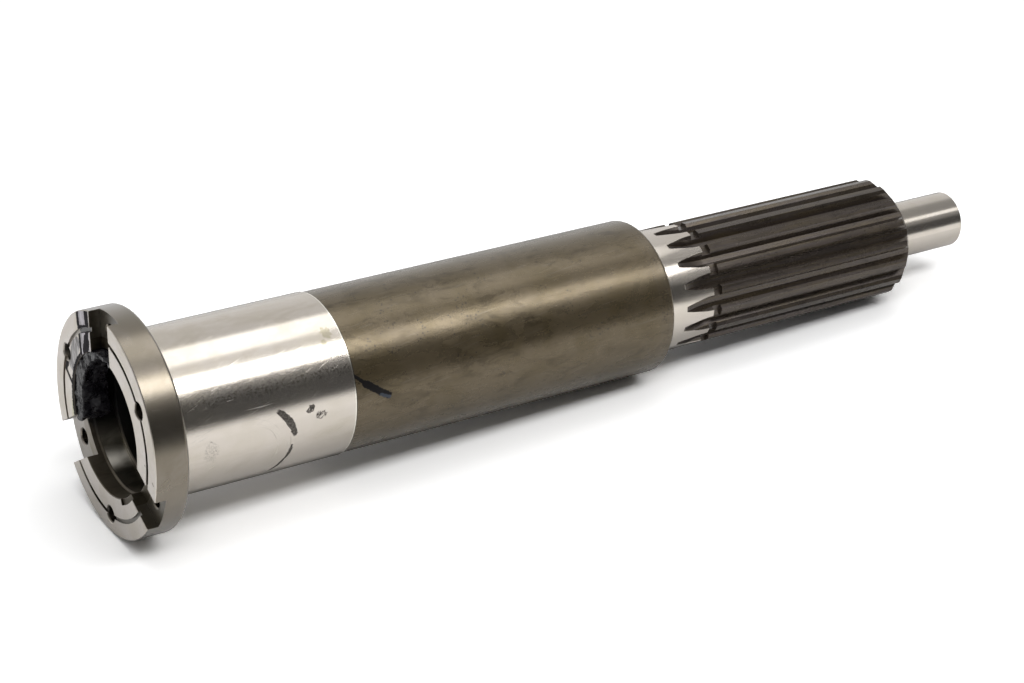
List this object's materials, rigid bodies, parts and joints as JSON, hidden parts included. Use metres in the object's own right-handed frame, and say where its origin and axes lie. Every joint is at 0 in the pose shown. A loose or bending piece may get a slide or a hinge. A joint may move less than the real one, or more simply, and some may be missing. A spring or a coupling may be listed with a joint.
{
  "type": "gearbox output shaft tube",
  "caption": "Hollow gearbox output shaft with a slotted drive flange, ground journal, dark turned body, splined end and ground pilot stub.",
  "frame": {"origin": "centre of the flange face, which the shaft stands on", "axes": "+Z along the shaft axis from the flange face to the pilot stub, -Y through the middle of the first drive slot"},
  "size_m": [0.092, 0.092, 0.428],
  "materials": {
    "shaft_steel": "ground bright on the flange, journal, neck and stub, dark oxide on the body and spline"
  },
  "bodies": {
    "root": {"output_shaft": "shaft_steel"}
  },
  "joints": []
}
